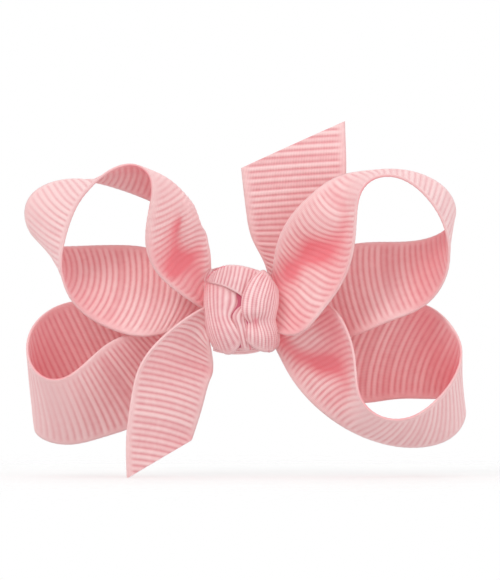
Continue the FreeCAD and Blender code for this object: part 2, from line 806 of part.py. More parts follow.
RIBBONS = {
    "upper_left_loop": UPPER_LEFT_LOOP,
    "lower_left_loop": LOWER_LEFT_LOOP,
    "upper_right_loop": UPPER_RIGHT_LOOP,
    "lower_right_loop": LOWER_RIGHT_LOOP,
    "upper_tail": UPPER_TAIL,
    "lower_tail": LOWER_TAIL,
}

parts = []
for label, ribbon in RIBBONS.items():
    parts.append(shape_feature(label, ribbon_solid(ribbon)))
parts.append(shape_feature("gather_thread", thread_solid()))
parts.append(shape_feature("knot", knot_solid()))
parts.append(make_knot_band())
parts.append(make_glue_pad())
parts.append(make_upper_arm())
parts.append(make_lower_arm())
parts.append(make_hinge_pin())
parts.append(shape_feature("clip_spring", spring_solid()))
document.recompute()

os.makedirs("parts", exist_ok=True)
for part in parts:
    faulty = "Invalid" in part.State or "Error" in part.State
    if faulty or part.Shape.isNull() or not part.Shape.isValid():
        raise ValueError(part.Label + " has no valid shape")
    part.Shape.exportStep(f"parts/{part.Label}.step")
    print(f"{part.Label}: {len(part.Shape.Solids)} solid, {part.Shape.Volume:.1f} mm3")
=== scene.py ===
"""Looks of the hair bow: ribbed ribbon, tied knot, thread, clip finishes, light and camera.

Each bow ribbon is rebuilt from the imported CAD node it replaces: its two long edges and the
sheet between them are read from the node's mesh, then the ribs, woven edges and cut ends are
added. The knot is laid as folded strips of a narrower ribbon over the CAD knot's own shape.
"""

import math

import bmesh
import bpy
import numpy as np
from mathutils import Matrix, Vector


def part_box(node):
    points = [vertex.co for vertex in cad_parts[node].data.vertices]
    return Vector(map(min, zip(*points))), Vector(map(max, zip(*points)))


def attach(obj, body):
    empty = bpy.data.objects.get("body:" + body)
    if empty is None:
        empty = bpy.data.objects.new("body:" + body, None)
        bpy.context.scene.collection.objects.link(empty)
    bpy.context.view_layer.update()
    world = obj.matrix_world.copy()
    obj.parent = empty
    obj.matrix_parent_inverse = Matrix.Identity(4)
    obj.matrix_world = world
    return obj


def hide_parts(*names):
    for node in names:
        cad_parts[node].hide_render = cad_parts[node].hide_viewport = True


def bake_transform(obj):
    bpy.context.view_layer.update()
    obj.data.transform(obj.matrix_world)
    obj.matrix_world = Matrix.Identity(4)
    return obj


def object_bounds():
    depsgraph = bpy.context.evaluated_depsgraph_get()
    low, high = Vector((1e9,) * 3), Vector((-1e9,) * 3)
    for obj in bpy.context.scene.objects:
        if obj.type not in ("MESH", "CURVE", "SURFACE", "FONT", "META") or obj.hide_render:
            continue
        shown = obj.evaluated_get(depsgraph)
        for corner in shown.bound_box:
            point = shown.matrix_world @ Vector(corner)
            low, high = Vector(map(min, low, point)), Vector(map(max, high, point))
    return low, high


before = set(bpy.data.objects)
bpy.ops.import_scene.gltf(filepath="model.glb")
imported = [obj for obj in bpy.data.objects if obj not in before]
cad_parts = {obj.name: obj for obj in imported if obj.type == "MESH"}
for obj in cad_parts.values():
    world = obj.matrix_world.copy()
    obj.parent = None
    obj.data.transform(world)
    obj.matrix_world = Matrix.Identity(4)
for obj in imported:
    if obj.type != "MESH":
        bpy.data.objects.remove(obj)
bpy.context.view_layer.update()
MM = 0.001

# ---------------------------------------------------------------- sizes, in metres
BOW_RIBBON = {
    "width": 15.9 * MM,
    "thickness": 0.36 * MM,
    "rib_pitch": 0.93 * MM,
    "rib_height": 0.11 * MM,
    "selvage": 0.95 * MM,
    # strength of the painted shade in the ribbon's hollows
    "hollow_shade_gain": 1.0,
    "taut_gain": 1.0,
    "columns": 36,
}
KNOT_RIBBON = {
    "width": 9.5 * MM,
    "thickness": 0.34 * MM,
    "rib_pitch": 0.62 * MM,
    "rib_height": 0.11 * MM,
    "selvage": 0.5 * MM,
    # strength of the painted shade in the ribbon's hollows
    "hollow_shade_gain": 0.35,
    "taut_gain": 0.0,
    "columns": 34,
}
ROWS_PER_RIB = 8

# the cords: how sharp their crests are, how much they differ, and their height at the selvage
CORD_SHARPNESS = 1.3
CORD_VARIATION = 0.18
CORD_LIMITS = (0.6, 1.4)
SELVAGE_START = 0.55
SELVAGE_CORD = 0.22
SELVAGE_RISE = 0.35

# bends: radii that count as a full crease or turn, which also set where shade is painted in the hollows,
# and how much a turn flattens the cords
CREASE_RADIUS = 2 * MM
TURN_RADIUS = 4 * MM
BEND_SOFTENING = 8
TAUT_FLATTENING = 0.6

# reading the CAD ribbons
GATHERED_REACH = 4 * MM
READ_ROWS = 130
READ_COLUMNS = 13
READ_SMOOTHING = 11
EDGE_MISS = 0.5 * MM
SAME_POINT = 1e-6

# squaring the rows: finer steps used meanwhile, shortest end that is drawn together again,
# and the share of a ribbon half from which that starts
SQUARE_STEPS = 10
LENGTH_STEPS = 12
SHORT_END = 5 * MM
EASE_START = 0.35

TAIL_SPARE = 10 * MM
# strength of the painted shade in the tails' hollows
TAIL_HOLLOW_SHADE_GAIN = 0.2
CORE_INSET = 0.75 * MM
WIRE_RADIUS = 0.18 * MM


# ---------------------------------------------------------------- small helpers

def unit(vectors):
    return vectors / np.maximum(np.linalg.norm(vectors, axis=-1, keepdims=True), 1e-12)


def linked(name, data):
    """A new object in the scene that shows the mesh, lamp or camera data."""
    made = bpy.data.objects.new(name, data)
    bpy.context.scene.collection.objects.link(made)
    return made


def path_lengths(points):
    """Distance along a polyline at each of its points."""
    steps = np.linalg.norm(np.diff(points, axis=0), axis=1)
    return np.concatenate([[0.0], np.cumsum(steps)])


def resample(points, count):
    """The polyline at equal steps of its length."""
    along = path_lengths(points)
    wanted = np.linspace(0.0, along[-1], count)
    return np.stack([np.interp(wanted, along, points[:, axis]) for axis in range(3)], axis=1)


def smooth_rows(grid, rounds):
    """Evens out a grid along its first axis, first and last rows kept."""
    for _ in range(rounds):
        inner = (grid[:-2] + 2 * grid[1:-1] + grid[2:]) / 4
        grid = np.concatenate([grid[:1], inner, grid[-1:]])
    return grid


def spline_rows(grid, positions):
    """The grid's rows at fractional row positions, on smooth curves through the given rows."""
    count = len(grid)
    padded = np.concatenate([2 * grid[:1] - grid[1:2], grid, 2 * grid[-1:] - grid[-2:-1]])
    index = np.clip(np.floor(positions).astype(int), 0, count - 2)
    share = (positions - index).reshape((-1,) + (1,) * (grid.ndim - 1))
    before, here, after, beyond = (padded[index + step] for step in range(4))
    return 0.5 * (
        2 * here
        + (after - before) * share
        + (2 * before - 5 * here + 4 * after - beyond) * share ** 2
        + (3 * here - before - 3 * after + beyond) * share ** 3
    )


def spline_columns(grid, count):
    """The grid with count columns, on smooth curves across its rows."""
    positions = np.linspace(0, grid.shape[1] - 1, count)
    return spline_rows(grid.swapaxes(0, 1), positions).swapaxes(0, 1)


def rows_by_length(grid, count):
    """The grid with count rows, spaced equally along its middle."""
    fine = spline_rows(grid, np.linspace(0, len(grid) - 1, LENGTH_STEPS * len(grid)))
    along = path_lengths(fine[:, grid.shape[1] // 2])
    wanted = np.interp(np.linspace(0.0, along[-1], count), along, np.arange(len(fine)))
    return spline_rows(fine, wanted)


def square_row(grid, start_row, start_column):
    """Row position in every column of the line that crosses the columns squarely."""
    rows, columns = grid.shape[:2]
    travel = np.gradient(grid, axis=0)
    crossing = np.full(columns, float(start_row))
    for step in (1, -1):
        column = start_column
        while 0 <= column + step < columns:
            row = int(round(np.clip(crossing[column], 0, rows - 1)))
            offset = grid[row, column + step] - grid[row, column]
            speed = travel[row, column] / travel[row, column].dot(travel[row, column])
            crossing[column + step] = np.clip(crossing[column] - offset.dot(speed), 0, rows - 1)
            column += step
    return crossing


def drawn_together(along, end, sense):
    """Lengths along the columns, brought to one shared length towards the given end."""
    reach = along[end]
    shared = reach.mean()
    if abs(shared) <= SHORT_END:
        return along
    share = np.clip(along / reach, 0, 1)
    ease = np.clip((share - EASE_START) / (1 - EASE_START), 0, 1) ** 2
    return np.where(along * sense > 0, along + (shared - reach) * ease, along)


def rows_across_edges(grid, spacing, start_row, start_column, lean):
    """The grid with rows that cross the ribbon squarely, as its woven cords do.

    The rows are exact at the starting row and are drawn together again towards both ends.
    lean lists how far, in mm, the rows slant there between the front and the rear edge,
    at shares of the ribbon's length.
    """
    count = SQUARE_STEPS * len(grid)
    fine = spline_rows(grid, np.linspace(0, len(grid) - 1, count))
    start = start_row * (count - 1) / (len(grid) - 1)
    crossing = square_row(fine, start, start_column)
    columns = grid.shape[1]
    along = np.stack([path_lengths(fine[:, column]) for column in range(columns)], axis=1)
    for column in range(columns):
        along[:, column] -= np.interp(crossing[column], np.arange(count), along[:, column])
    for end, sense in ((0, -1), (-1, 1)):
        along = drawn_together(along, end, sense)
    shares, slants = zip(*lean)
    slant = np.interp(np.linspace(0, 1, count), shares, slants) * MM
    along = along + slant[:, None] * np.linspace(-0.5, 0.5, columns)[None, :]
    along = np.maximum.accumulate(along, axis=0)
    first = along[0].max()
    last = along[-1].min()
    wanted = np.linspace(first, last, max(2, round((last - first) / spacing)) + 1)
    rows = np.zeros((len(wanted), columns, 3))
    for column in range(columns):
        position = np.interp(wanted, along[:, column], np.arange(count))
        rows[:, column] = spline_rows(fine[:, column], position)
    return rows


# ---------------------------------------------------------------- reading the CAD ribbons

def face_islands(node):
    """The node's points, and its triangles grouped by CAD face, largest face first."""
    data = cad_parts[node].data
    points = np.array([vertex.co[:] for vertex in data.vertices])
    triangles = np.array([face.vertices[:] for face in data.polygons])
    label = np.arange(len(points))
    settled = False
    while not settled:
        lowest = label[triangles].min(axis=1)
        joined = label.copy()
        for corner in range(3):
            np.minimum.at(joined, triangles[:, corner], lowest)
        joined = joined[joined]
        settled = (joined == label).all()
        label = joined
    islands = [triangles[label[triangles[:, 0]] == root] for root in np.unique(label[triangles])]

    def area(island):
        first, second, third = (points[island[:, corner]] for corner in range(3))
        return np.linalg.norm(np.cross(second - first, third - first), axis=1).sum()

    islands.sort(key=area, reverse=True)
    return points, islands


def outline_of(island):
    """The island's outline as one closed loop of point numbers."""
    edges = set()
    for first, second, third in island:
        edges.update(((first, second), (second, third), (third, first)))
    following = {first: second for first, second in edges if (second, first) not in edges}
    loop = [min(following)]
    while following[loop[-1]] != loop[0]:
        loop.append(following[loop[-1]])
    return loop


def starts_first(path):
    """The path turned so that it starts in the gathered centre, in the foremost layer."""
    def rank(point):
        return (math.hypot(point[0], point[2]) > GATHERED_REACH, point[1])
    return path if rank(path[0]) < rank(path[-1]) else path[::-1]


def side_path(points, side, ends):
    """Middle line of a ribbon's narrow side face, between its two end faces."""
    loop = outline_of(side)
    at_end = [np.abs(ends - points[index]).sum(axis=1).min() < SAME_POINT for index in loop]
    start = next(
        place for place in range(len(loop)) if at_end[place] and not at_end[(place + 1) % len(loop)]
    )
    loop = loop[start:] + loop[:start]
    at_end = at_end[start:] + at_end[:start]
    loop.append(loop[0])
    at_end.append(True)
    turn = at_end.index(True, 1)
    back = at_end.index(False, turn)
    last = at_end.index(True, back)
    halves = (points[loop[:turn + 1]], points[loop[back - 1:last + 1]])
    there, returning = (resample(starts_first(half), READ_ROWS) for half in halves)
    return (there + returning) / 2


def section_of(points, sheet, front, rear, normal):
    """The curve in which a plane through both long edges cuts one sheet, front edge first."""
    height = (points - front).dot(normal)
    corners = height[sheet]
    crossed = sheet[(corners.min(axis=1) < 0) & (corners.max(axis=1) >= 0)]
    cuts = {}
    neighbours = {}
    for triangle in crossed:
        ends = []
        for first, second in (triangle[[0, 1]], triangle[[1, 2]], triangle[[2, 0]]):
            if (height[first] < 0) == (height[second] < 0):
                continue
            key = (min(first, second), max(first, second))
            share = height[first] / (height[first] - height[second])
            cuts[key] = points[first] + (points[second] - points[first]) * share
            ends.append(key)
        for key, other in (ends, ends[::-1]):
            neighbours.setdefault(key, []).append(other)
    rims = [key for key, others in neighbours.items() if len(others) == 1]
    if not rims:
        return None
    chain = [min(rims, key=lambda key: np.linalg.norm(cuts[key] - front))]
    before = None
    while True:
        onward = [key for key in neighbours[chain[-1]] if key != before]
        if not onward:
            break
        before = chain[-1]
        chain.append(onward[0])
    curve = np.array([cuts[key] for key in chain])
    misses = (np.linalg.norm(curve[0] - front), np.linalg.norm(curve[-1] - rear))
    return curve if max(misses) < EDGE_MISS else None


def read_ribbon(node):
    """Grid of points midway through a CAD ribbon: rows along it, columns across it."""
    points, islands = face_islands(node)
    ends = points[np.unique(np.concatenate(islands[4:]))]
    paths = [side_path(points, side, ends) for side in islands[2:4]]
    paths.sort(key=lambda path: path[:, 1].mean())
    front, rear = (smooth_rows(path, 2) for path in paths)
    travel = np.gradient((front + rear) / 2, axis=0)
    chords = unit(rear - front)
    travel = unit(travel - chords * (travel * chords).sum(axis=1, keepdims=True))
    shares = np.linspace(0.0, 1.0, READ_COLUMNS)[None, :, None]
    flat = front[:, None] + (rear - front)[:, None] * shares
    known, found = [], []
    for row in range(READ_ROWS):
        curves = [
            section_of(points, sheet, front[row], rear[row], travel[row]) for sheet in islands[:2]
        ]
        if all(curve is not None for curve in curves):
            known.append(row)
            found.append(sum(resample(curve, READ_COLUMNS) for curve in curves) / 2 - flat[row])
    bulge = np.array(found).reshape(len(known), -1)
    rows = np.arange(READ_ROWS)
    bulge = np.stack([np.interp(rows, known, values) for values in bulge.T], axis=1)
    return smooth_rows(flat + bulge.reshape(flat.shape), READ_SMOOTHING)


# ---------------------------------------------------------------- ribbon meshes

def grid_normals(grid):
    """Unit normals of a grid of points."""
    along = np.gradient(grid, axis=0)
    across = np.gradient(grid, axis=1)
    return unit(np.cross(along, across))


def bending(grid, normals, axis, radius):
    """Bend of the sheet along one axis of the grid, 1 where it is bent to the radius.

    It is above 0 where the side of the normals is the hollow one.
    """
    slope = np.gradient(grid, axis=axis)
    turn = (np.gradient(slope, axis=axis) * normals).sum(axis=2)
    bend = radius * turn / np.maximum((slope ** 2).sum(axis=2), 1e-14)
    for _ in range(BEND_SOFTENING):
        bend = smooth_rows(smooth_rows(bend, 1).T, 1).T
    return bend


def cord_heights(rows, seed):
    """Height of the cord at each row, 0 in a groove and about 1 on a crest."""
    rng = np.random.default_rng(seed)
    ribs = math.ceil((rows - 1) / ROWS_PER_RIB)
    along = np.arange(rows) / ROWS_PER_RIB
    strength = 1 + CORD_VARIATION * rng.standard_normal(ribs + 1)
    strength = np.clip(strength[np.minimum(along.astype(int), ribs)], *CORD_LIMITS)
    return np.abs(np.sin(np.pi * along)) ** CORD_SHARPNESS * strength


def closed_faces(rows, columns):
    """Quads of a closed sheet: its two faces and the wall round their rim."""
    number = np.arange(rows * columns).reshape(rows, columns)
    top = np.stack([number[:-1, :-1], number[1:, :-1], number[1:, 1:], number[:-1, 1:]], axis=-1)
    top = top.reshape(-1, 4)
    under = top[:, ::-1] + rows * columns
    rim = np.concatenate([number[:, 0], number[-1, 1:], number[-2::-1, -1], number[0, -2:0:-1]])
    ahead = np.roll(rim, -1)
    wall = np.stack([rim, rim + rows * columns, ahead + rows * columns, ahead], axis=-1)
    return np.concatenate([top, under, wall])


def store_cloth_place(mesh, travelled, spread):
    """UV map with each point's place along and across the flat ribbon, in mm."""
    place = np.stack(np.meshgrid(travelled, spread, indexing="ij"), axis=-1).reshape(-1, 2)
    place = np.tile(place / MM, (2, 1))
    corner_vertex = np.zeros(len(mesh.loops), dtype=np.int32)
    mesh.loops.foreach_get("vertex_index", corner_vertex)
    layer = mesh.uv_layers.new(name="cloth_mm")
    layer.data.foreach_set("uv", place[corner_vertex].astype(np.float32).ravel())


def store_fields(mesh, shape, both_faces):
    """Point attributes that the materials read, one field for each face of the sheet."""
    for label, fields in both_faces.items():
        values = np.stack([np.broadcast_to(field, shape) for field in fields])
        attribute = mesh.attributes.new(label, "FLOAT", "POINT")
        attribute.data.foreach_set("value", values.astype(np.float32).ravel())


def ribbed_mesh(name, grid, ribbon, seed):
    """A closed mesh with woven cords along the rows of its fine middle sheet."""
    rows, columns = grid.shape[:2]
    across = (np.linspace(0.0, 1.0, columns) - 0.5) * ribbon["width"]
    edge_distance = (ribbon["width"] / 2 - np.abs(across)) / ribbon["selvage"]
    inside = np.clip(edge_distance - SELVAGE_START, 0.0, 1.0)
    rib = cord_heights(rows, seed)
    field = rib[:, None] * (SELVAGE_CORD + (1 - SELVAGE_CORD) * inside[None, :])
    field += SELVAGE_RISE * (1 - inside[None, :])
    normals = grid_normals(grid)
    turned = bending(grid, normals, 0, TURN_RADIUS)
    # painted shade: how far each point lies in a crease or turn, for the material to shade its colour
    # there
    hollow = ribbon["hollow_shade_gain"] * (bending(grid, normals, 1, CREASE_RADIUS) + turned)
    # the cords are pulled flatter on the outer side of a turn
    taut = [ribbon["taut_gain"] * np.clip(side * turned, 0, 1) for side in (-1, 1)]
    relief = [ribbon["rib_height"] * (field - 0.5) * (1 - TAUT_FLATTENING * pull) for pull in taut]
    half = [(ribbon["thickness"] / 2 + height)[..., None] for height in relief]
    faces = [grid + normals * half[0], grid - normals * half[1]]
    vertices = np.concatenate([face.reshape(-1, 3) for face in faces])

    mesh = bpy.data.meshes.new(name)
    mesh.from_pydata(vertices.tolist(), [], closed_faces(rows, columns).tolist())
    mesh.shade_smooth()
    store_cloth_place(mesh, np.arange(rows) / ROWS_PER_RIB * ribbon["rib_pitch"], across)
    store_fields(mesh, (rows, columns), {
        "rib": (rib[:, None] * inside[None, :],) * 2,
        "selvage": (1 - inside,) * 2,
        "hollow": (np.clip(hollow, 0, 1), np.clip(-hollow, 0, 1)),
        "taut": taut,
    })
    return linked(name, mesh)


def ribbon_object(name, sheet, ribbon, seed):
    """A closed, ribbed ribbon mesh round the middle sheet given as a coarse grid."""
    length = path_lengths(sheet[:, sheet.shape[1] // 2])[-1]
    rows = max(2, round(length / ribbon["rib_pitch"])) * ROWS_PER_RIB + 1
    grid = rows_by_length(spline_columns(sheet, ribbon["columns"]), rows)
    return ribbed_mesh(name, grid, ribbon, seed)


# ---------------------------------------------------------------- the knot

KNOT_WAIST = -10.3
KNOT_BULGE = 5.5
KNOT_HALF_WIDTH = 5.5
KNOT_HALF_HEIGHT = 6.3
KNOT_SQUARENESS = 2.5
STRIP_COLUMNS = 15
STRIP_STEPS = 8
STRIP_SMOOTHING = 3
WRAP_STEPS = 60
WRAP_COLUMNS = 7

# Rulings across each strip of the knot, in mm: x, z, height above the knot's cushion shape,
# and how far the point lies behind that shape.
TOP_BAND = [
    [(-4.2, 6.0, 0.2, 4.5), (-4.9, 5.4, 0.2, 4.5), (-5.2, 4.6, 0.2, 4.5)],
    [(-4.9, 6.0, 0.3, 0.8), (-5.35, 5.3, 0.3, 0.6), (-5.6, 4.4, 0.3, 0.5)],
    [(-3.9, 6.45, 0.5, 0.0), (-4.4, 5.4, 0.6, 0.0), (-4.8, 4.2, 0.6, 0.0)],
    [(-2.4, 6.75, 0.5, 0.0), (-2.7, 5.4, 0.75, 0.0), (-3.1, 3.85, 0.75, 0.0)],
    [(-0.8, 6.75, 0.5, 0.0), (-1.1, 5.1, 0.8, 0.0), (-1.6, 3.2, 0.75, 0.0)],
    [(0.6, 6.5, 0.4, 0.0), (0.1, 4.6, 0.6, 0.0), (-0.4, 2.5, 0.55, 0.0)],
    [(1.7, 6.2, 0.0, 0.0), (1.1, 4.2, 0.0, 0.0), (0.3, 1.95, 0.1, 0.0)],
    [(2.6, 5.7, -0.9, 0.0), (1.9, 3.8, -1.0, 0.0), (1.0, 1.5, -1.0, 0.0)],
]
LEFT_WRAP = [
    [(-4.4, 3.8, 0.0, 6.0), (-4.5, 1.6, 0.0, 6.0), (-4.5, -0.6, 0.0, 6.0), (-4.3, -2.8, 0.0, 6.0),
     (-3.6, -4.8, 0.0, 5.0)],
    [(-5.5, 4.4, 0.1, 1.2), (-5.6, 2.0, 0.2, 1.2), (-5.5, -0.6, 0.3, 1.2), (-5.2, -3.0, 0.4, 1.2),
     (-4.4, -5.2, 0.4, 1.0)],
    [(-5.0, 4.6, 0.2, 0.0), (-5.1, 2.0, 0.3, 0.0), (-4.8, -0.8, 0.5, 0.0), (-4.2, -3.4, 0.9, 0.0),
     (-3.2, -5.9, 0.6, 0.0)],
    [(-4.2, 4.5, 0.25, 0.0), (-4.2, 1.8, 0.4, 0.0), (-4.0, -0.8, 0.7, 0.0), (-3.3, -3.5, 1.3, 0.0),
     (-2.2, -6.4, 0.7, 0.0)],
    [(-3.3, 4.2, 0.25, 0.0), (-3.4, 1.6, 0.45, 0.0), (-3.3, -0.8, 0.8, 0.0), (-2.5, -3.3, 1.4, 0.0),
     (-1.3, -6.2, 0.7, 0.0)],
    [(-2.4, 3.8, 0.2, 0.0), (-2.6, 1.4, 0.4, 0.0), (-2.7, -0.8, 0.7, 0.0), (-1.9, -2.9, 1.2, 0.0),
     (-0.6, -5.4, 0.5, 0.0)],
    [(-1.5, 3.2, 0.0, 0.0), (-1.5, 1.2, 0.2, 0.0), (-2.1, -0.8, 0.4, 0.0), (-1.4, -2.5, 0.8, 0.0),
     (-0.2, -4.6, 0.2, 0.0)],
    [(-0.7, 2.7, -0.3, 0.0), (-0.8, 1.1, -0.1, 0.0), (-1.7, -0.9, -0.1, 0.0), (-0.9, -2.3, 0.1, 0.0),
     (0.2, -4.2, -0.4, 0.0)],
    [(-0.3, 2.3, -1.2, 0.0), (-0.5, 1.0, -1.1, 0.0), (-1.4, -0.8, -1.2, 0.0), (-0.6, -2.0, -1.0, 0.0),
     (0.4, -3.8, -1.2, 0.0)],
]
RIGHT_LOBE = [
    [(2.6, 5.6, -0.9, 0.0), (1.3, 4.2, -0.6, 0.0), (0.35, 2.3, -0.5, 0.0), (0.2, 0.1, -0.5, 0.0),
     (0.7, -1.6, -1.3, 0.0), (0.8, -2.9, -0.8, 0.0), (0.8, -4.2, -0.8, 0.0)],
    [(2.9, 5.95, 0.1, 0.0), (1.5, 4.7, 0.9, 0.0), (0.3, 2.4, 1.0, 0.0), (0.1, -0.1, 1.1, 0.0),
     (0.7, -1.55, -0.4, 0.0), (0.7, -3.0, 0.5, 0.0), (0.75, -4.4, 0.4, 0.0)],
    [(3.3, 6.0, 0.3, 0.0), (2.2, 4.7, 1.2, 0.0), (1.2, 2.3, 1.5, 0.0), (0.9, -0.3, 1.6, 0.0),
     (1.3, -1.6, -0.2, 0.0), (1.4, -3.3, 0.9, 0.0), (1.5, -5.2, 0.7, 0.0)],
    [(3.8, 5.6, 0.4, 0.0), (3.1, 4.2, 1.2, 0.0), (2.4, 2.0, 1.6, 0.0), (2.1, -0.2, 1.4, 0.0),
     (2.1, -1.5, -0.1, 0.0), (2.5, -3.6, 1.0, 0.0), (2.5, -5.8, 0.8, 0.0)],
    [(4.3, 4.9, 0.3, 0.0), (4.0, 3.5, 1.0, 0.0), (3.5, 1.7, 1.2, 0.0), (3.2, -0.2, 0.9, 0.0),
     (3.0, -1.5, 0.2, 0.0), (3.6, -3.8, 0.9, 0.0), (3.6, -6.1, 0.7, 0.0)],
    [(4.8, 4.1, 0.2, 0.0), (4.8, 2.9, 0.6, 0.0), (4.6, 1.3, 0.7, 0.0), (4.3, -0.3, 0.5, 0.0),
     (4.1, -1.5, 0.3, 0.0), (4.7, -3.8, 0.6, 0.0), (4.6, -5.9, 0.6, 0.0)],
    [(5.3, 3.2, 0.1, 1.2), (5.35, 2.2, 0.2, 1.2), (5.3, 1.0, 0.2, 1.2), (5.0, -0.4, 0.1, 1.2),
     (4.9, -1.6, 0.0, 1.2), (5.5, -3.5, 0.3, 1.2), (5.5, -5.0, 0.3, 1.2)],
    [(4.6, 2.8, 0.0, 5.0), (4.6, 2.0, 0.0, 5.0), (4.6, 0.9, 0.0, 5.0), (4.4, -0.4, 0.0, 5.0),
     (4.2, -1.4, 0.0, 5.0), (4.6, -3.2, 0.0, 5.0), (4.6, -4.5, 0.0, 5.0)],
]
CENTRE_TUCK = [
    [(-0.6, 0.9, -1.2, 0.0), (-1.8, -0.9, -1.2, 0.0), (-1.1, -2.6, -1.0, 0.0), (-0.3, -5.8, -0.8, 0.0)],
    [(-0.1, 1.0, -0.3, 0.0), (-1.3, -0.7, 0.0, 0.0), (-0.7, -2.6, 0.2, 0.0), (0.1, -5.8, 0.0, 0.0)],
    [(0.5, 0.7, 0.0, 0.0), (-0.2, -0.9, 0.35, 0.0), (0.1, -2.6, 0.45, 0.0), (0.8, -5.8, 0.2, 0.0)],
    [(1.0, 0.3, -0.6, 0.0), (0.7, -1.2, -0.4, 0.0), (0.9, -2.6, -0.4, 0.0), (1.5, -5.7, -0.3, 0.0)],
]
KNOT_STRIPS = {
    "knot_left_wrap": LEFT_WRAP,
    "knot_centre_tuck": CENTRE_TUCK,
    "knot_right_lobe": RIGHT_LOBE,
    "knot_top_band": TOP_BAND,
}


def on_knot(rulings):
    """Knot rulings turned into points of the row frame, in metres."""
    x, z, lift, behind = (rulings[..., part] for part in range(4))
    reach = np.abs(x) / (KNOT_HALF_WIDTH + np.maximum(lift, 0))
    rise = np.abs(z) / (KNOT_HALF_HEIGHT + np.maximum(lift, 0))
    share = np.clip(1 - reach ** KNOT_SQUARENESS - rise ** KNOT_SQUARENESS, 0, 1)
    depth = KNOT_WAIST - (KNOT_BULGE + lift) * share ** (1 / KNOT_SQUARENESS) + behind
    return np.stack([x, depth, z], axis=-1) * MM


def knot_strip(name, rulings, seed):
    """One folded strip of the knot ribbon, hugging the knot's cushion shape."""
    coarse = np.array(rulings)
    smooth = spline_columns(coarse, STRIP_COLUMNS)
    smooth = spline_rows(smooth, np.linspace(0, len(smooth) - 1, STRIP_STEPS * len(smooth)))
    sheet = smooth_rows(on_knot(smooth), STRIP_SMOOTHING)
    return ribbon_object(name, sheet, KNOT_RIBBON, seed)


def rounded_loop(low_y, high_y, half_z, radius, steps):
    """Points of a rounded rectangle in depth and height, starting at the middle of its front."""
    corners = [
        (low_y + radius, half_z - radius, 180, 90),
        (high_y - radius, half_z - radius, 90, 0),
        (high_y - radius, radius - half_z, 0, -90),
        (low_y + radius, radius - half_z, 270, 180),
    ]
    points = [(low_y, 0.0)]
    for y, z, start, end in corners:
        for angle in np.radians(np.linspace(start, end, steps)):
            points.append((y + radius * math.cos(angle), z + radius * math.sin(angle)))
    points.append((low_y, 0.0))
    return np.array(points)


def wrapped_strip(name, loop, left, right, belly, seed):
    """A strip wrapped once round the bow along the loop, its middle standing out by belly."""
    path = resample(np.column_stack([loop, np.zeros(len(loop))]), WRAP_STEPS)[:, :2]
    centre = (path.min(axis=0) + path.max(axis=0)) / 2
    outward = unit(path - centre)
    shares = np.linspace(0.0, 1.0, WRAP_COLUMNS)
    sheet = np.zeros((len(path), len(shares), 3))
    for column, share in enumerate(shares):
        bulge = belly * (1 - (2 * share - 1) ** 2)
        sheet[:, column, 0] = left + (right - left) * share
        sheet[:, column, 1:] = path + outward * bulge
    return ribbon_object(name, sheet * MM, KNOT_RIBBON, seed)


def knot_core():
    """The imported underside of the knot: the CAD knot drawn in under the strips."""
    core = bmesh.new()
    core.from_mesh(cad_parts["knot"].data)
    bmesh.ops.remove_doubles(core, verts=core.verts, dist=1e-7)
    core.normal_update()
    inward = [vertex.normal.copy() for vertex in core.verts]
    for vertex, normal in zip(core.verts, inward):
        vertex.co -= normal * CORE_INSET
    mesh = bpy.data.meshes.new("knot_core")
    core.to_mesh(mesh)
    core.free()
    mesh.shade_smooth()
    return linked("knot_core", mesh)


# ---------------------------------------------------------------- the clip's spring

def tube(name, path, radius, sides):
    """A round wire along the path, closed at both ends."""
    travel = unit(np.gradient(path, axis=0))
    side = np.zeros_like(path)
    side[0] = unit(np.cross(travel[0], [0.0, 0.0, 1.0]))
    for index in range(1, len(path)):
        carried = side[index - 1] - travel[index] * side[index - 1].dot(travel[index])
        side[index] = unit(carried)
    other = np.cross(travel, side)
    angles = np.linspace(0, 2 * math.pi, sides, endpoint=False)
    rings = path[:, None] + radius * (
        np.cos(angles)[None, :, None] * side[:, None] + np.sin(angles)[None, :, None] * other[:, None]
    )
    number = np.arange(len(path) * sides).reshape(len(path), sides)
    ahead = np.roll(number, -1, axis=1)
    quads = np.stack([number[:-1], ahead[:-1], ahead[1:], number[1:]], axis=-1).reshape(-1, 4)
    faces = quads.tolist() + [number[0, ::-1].tolist(), number[-1].tolist()]
    mesh = bpy.data.meshes.new(name)
    mesh.from_pydata(rings.reshape(-1, 3).tolist(), [], faces)
    mesh.shade_smooth()
    return linked(name, mesh)


def spring_path():
    """Middle of the spring wire: leg, coil round the hinge pin, leg."""
    pin_low, pin_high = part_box("hinge_pin")
    pin_x = (pin_low.x + pin_high.x) / 2
    pin_y = (pin_low.y + pin_high.y) / 2
    radius, pitch, turns, leg = 0.95 * MM, 0.62 * MM, 4.5, 5.2 * MM
    angle = np.linspace(math.pi / 2, math.pi / 2 + 2 * math.pi * turns, int(turns * 40) + 1)
    height = pitch * turns
    coil = np.column_stack([
        pin_x + radius * np.cos(angle),
        pin_y + radius * np.sin(angle),
        np.linspace(-height / 2, height / 2, len(angle)),
    ])
    first = np.linspace(coil[0] + [leg, 0, 0], coil[0], 30, endpoint=False)
    last = np.linspace(coil[-1] + [leg, 0, 0], coil[-1], 30, endpoint=False)[::-1]
    return np.concatenate([first, coil, last])


# ---------------------------------------------------------------- materials

